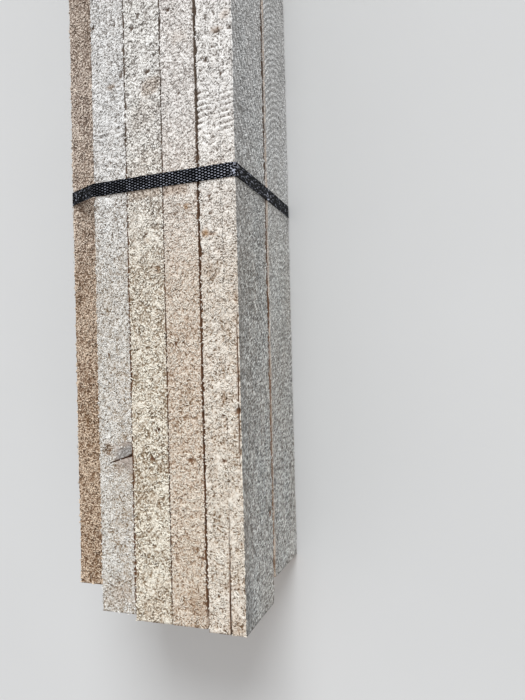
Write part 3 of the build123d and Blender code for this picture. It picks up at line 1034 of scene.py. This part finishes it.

# The studs: name, random seed, height of the fuzz, size of a tuft, pith in the section, and marks.
# A knot or stain is from_left, from_end, half_across, half_along, strength; a chip is the same without
# a strength; a split is from_left, start, end, mouth, depth, drift; ridges are start, end, pitch, depth;
# a smooth spot is from_left, to_left, from_end, to_end; a crack is its thin end, its wide end and both
# widths; a seam is a corner and how dark its painted shade is; a lump of fluff is from_left, from_end,
# spread.
studs = {stud.name: stud for stud in (
    Stud("stud_top_1", 11, 1.3, 3.0, pith=(-30, 70), crushed=(TOP_LEFT,), seams=((AT_TOP_RIGHT, 0.6),)),
    Stud("stud_top_2", 12, 1.0, 2.6, pith=(14, -75), crushed=(TOP_LEFT,), seams=((AT_TOP_RIGHT, 0.6),),
         ridges=((544, 563, 6, 0.34),), crack=((15, 174), (46, 184.5), 0.9, 7),
         knots=((46, 182, 33, 20, 1),),
         stains=((27, 610, 6, 3.5, 1), (22, 24, 20, 22, 0.5), (12.8, 192, 6, 10, 0.9),
                 (24, 168, 11, 5, 0.4)),
         chips=((3.1, 684.7, 2.6, 3), (42.3, 649.9, 2.2, 2.6), (22, 674, 1.8, 2), (40.5, 621, 2.8, 4),
                (32.8, 682.2, 1.8, 2), (38, 609, 4.5, 3), (23.3, 521.9, 2, 1.8), (30, 455.3, 1.8, 1.8),
                (16, 300, 1.6, 2.2)),
         lumps=((12.5, 204, 2), (34, 626, 3), (18, 446, 3), (33, 295, 3), (30, 157, 3.5), (12, 158, 3),
                (16, 70, 2.5), (12, 214, 2.5))),
    Stud("stud_top_3", 13, 1.7, 3.9, pith=(-8, 12), seams=((AT_TOP_LEFT, 0.6), (AT_TOP_RIGHT, 0.2)),
         smooth_spots=((3, 43, 479, 491),), pitted=0.5,
         knots=((38.5, 401, 3, 4, 0.25),),
         stains=((33, 604, 14, 12, 0.6), (23, 576, 24, 26, 0.22), (26, 522, 20, 14, 0.2),
                 (27, 432.5, 8, 6, 0.8), (38.5, 399, 5.5, 6.5, 1.1), (28, 139, 13, 11, 0.25),
                 (35, 40, 13, 15, 0.25), (20, 14, 20, 14, 0.4)),
         chips=((20.2, 688.9, 2, 2.4), (29.5, 623.2, 4, 3), (10.7, 676.2, 2.4, 3), (35.2, 652.3, 2, 2),
                (23.2, 612.3, 2.2, 2), (23.6, 439.4, 4, 2.4), (33.6, 217.8, 3, 2), (25, 186, 3, 2),
                (38, 640, 2, 2)),
         lumps=((21.1, 456, 3), (28.5, 249, 5), (33.6, 221, 4), (25, 191, 4), (31.8, 150, 5),
                (20, 420, 5), (34, 380, 5), (12, 350, 5), (38, 320, 4), (22, 130, 4), (6, 62, 2.5),
                (3, 104, 2))),
    Stud("stud_top_4", 14, 1.0, 2.8, pith=(70, 20), seams=((AT_TOP_LEFT, 0.2), (AT_TOP_RIGHT, 0.6)),
         smooth_spots=((1, 30, 476, 493),),
         knots=((18.7, 465.7, 4.5, 3.5, 0.5), (11, 313.6, 2.5, 2.5, 0.6)),
         stains=((24, 652, 13, 11, 0.3), (24, 325, 4, 14, 0.25), (29.2, 462.5, 6, 4.5, 1.4),
                 (33, 31, 14, 18, 0.55)),
         chips=((0.4, 670.8, 1.2, 7), (10.9, 685.2, 2, 1.8), (21.8, 588.9, 1.8, 2.4),
                (25.7, 664.5, 1.6, 1.8), (16.4, 601.1, 1.8, 1.6), (29.2, 462, 3, 2),
                (11, 313, 2.2, 2.6), (6, 322, 1.8, 1.8), (5, 281, 1.4, 3), (26.5, 185.5, 3, 2.6),
                (22, 391, 2.2, 2.2), (37, 79, 2.4, 1.8)),
         lumps=((30.8, 465.5, 3), (17, 443.5, 2.5), (26.4, 190.5, 3), (10, 210, 2.5), (8, 318, 3),
                (36, 44, 2), (14, 106, 2.5))),
    Stud("stud_top_5", 15, 1.5, 3.6, pith=(-45, -60), crushed=(TOP_RIGHT,),
         seams=((AT_TOP_LEFT, 0.62), (AT_BOTTOM_RIGHT, 0.6)), ridges=((540, 588, 6.4, 0.36),),
         splits=((26.2, 0, 144, 1.8, 14, 1.2), (40.9, 160, 358, 0.7, 2, 0.8)), saw_slope=1.3,
         saw_pitch=14, saw_depth=0.2,
         knots=((24, 652, 7, 4, 0.45), (10.3, 624, 4, 3, 0.5), (65, 570, 15, 7, 0.6),
                (126, 115, 6, 5.5, 1)),
         stains=((33, 665, 7, 6, 0.5), (24, 650, 10, 3, 0.7), (6, 433, 8, 6, 1.5),
                 (15, 431.5, 9, 3, 0.9), (18, 507, 11, 3, 0.4), (29, 328, 5, 9, 0.35),
                 (38, 338, 4, 4, 0.5), (25.6, 254, 4, 10, 0.6), (41, 362, 3, 13, 0.5),
                 (41, 286, 3, 9, 0.4), (8, 391, 10, 8, 0.35), (26, 151, 20, 7, 0.3),
                 (20, 53, 6, 9, 0.35), (38, 53, 7, 5, 0.4), (30, 20, 19, 22, 0.55)),
         chips=((0.4, 674.9, 1.5, 8), (0.4, 631.2, 1.4, 8), (11, 621, 3.2, 2.6), (28.6, 602.1, 2, 2.4),
                (2.7, 587.3, 2.4, 1.8), (17.1, 680.9, 3, 2.4), (10.4, 668.4, 2.6, 2.2),
                (19.5, 633.8, 2.6, 2.2), (41, 650.5, 2.4, 2.6), (23.6, 649, 5, 1.8),
                (11.7, 473.3, 3.4, 2.5), (10.6, 468, 2.8, 2.5), (11.1, 461.3, 2, 1.9),
                (14, 455.8, 2, 1.8), (12.5, 431.5, 2.6, 1.4), (4.5, 436, 2.4, 1.3),
                (5, 429.5, 2.6, 1.3), (129.5, 107, 5, 4.4), (0.2, 414.1, 2, 10), (0.2, 459.1, 1.4, 6),
                (22.6, 236, 3.6, 1.8), (40.3, 240.4, 2.4, 3.4), (21.3, 187.5, 3.6, 2.2),
                (9, 42, 4, 1.8)),
         lumps=((9, 625, 2.5), (5, 444.5, 2.6), (22.6, 240, 2.5), (21.3, 192, 2.5), (8.1, 45.1, 3),
                (14, 84, 2), (37, 250, 2), (31, 46, 2))),
    Stud("stud_bottom_1", 21, 0.9, 2.8, pith=(12, 30), crushed=(BOTTOM_LEFT,)),
    Stud("stud_bottom_2", 22, 0.9, 2.8, pith=(-60, 15)),
    Stud("stud_bottom_3", 23, 0.9, 2.8, pith=(5, -90)),
    Stud("stud_bottom_4", 24, 0.9, 2.8, pith=(-4, -18)),
    Stud("stud_bottom_5", 25, 0.9, 2.8, pith=(-30, -70), crushed=(BOTTOM_RIGHT,), saw_bend=0.0095,
         saw_pitch=8, saw_depth=0.14,
         knots=((112, 586, 2.5, 8, 0.9),),
         chips=((48, 107, 3, 3),)),
)}

# The top studs: how finely the right and the left side are meshed, the wood, and the loose fluff on the
# top: its length, its curls to a square millimetre and its plumpness
tops = (("stud_top_1", HIDDEN, LEFT_SIDE, BROWN, 3.8, 0.14, 1.1),
        ("stud_top_2", HIDDEN, LEFT_SIDE, WHITE, 3.2, 0.21, 1.1),
        ("stud_top_3", HIDDEN, HIDDEN, CREAM, 4.3, 0.12, 1.35),
        ("stud_top_4", HIDDEN, HIDDEN, ROSE, 3.4, 0.19, 1.1),
        ("stud_top_5", BROAD, HIDDEN, PALE, 4.0, 0.15, 1.1))
for name, right, left, wood, *_ in tops:
    make_stud(studs[name], (FINE, right, HIDDEN, left), wood)
make_stud(studs["stud_bottom_1"], (HIDDEN, HIDDEN, OPEN, LEFT_SIDE), PLAIN_WOOD, seen=False)
for column in (2, 3, 4):
    make_stud(studs[f"stud_bottom_{column}"], (HIDDEN, HIDDEN, OPEN, HIDDEN), PLAIN_WOOD, seen=False)
make_stud(studs["stud_bottom_5"], (OPEN, BROAD, OPEN, HIDDEN), PLAIN_WOOD, shaped=wane)

for name, _, _, wood, size, density, plump in tops:
    make_fluff(studs[name], TOP, wood, density, size, plump=plump)
for name, wood in (("stud_top_5", PALE), ("stud_bottom_5", PLAIN_WOOD)):
    make_fluff(studs[name], RIGHT, wood, density=0.06, size=5.5, slant=math.radians(59), start=8,
               keep_from=14)

strap_material = black_strap()
make_strap("strap_near", strap_material, spacing=0.6, plain_spacing=1.5, columns=44)
make_strap("strap_far", strap_material, spacing=1.3, plain_spacing=2.0, columns=22)
make_stage()
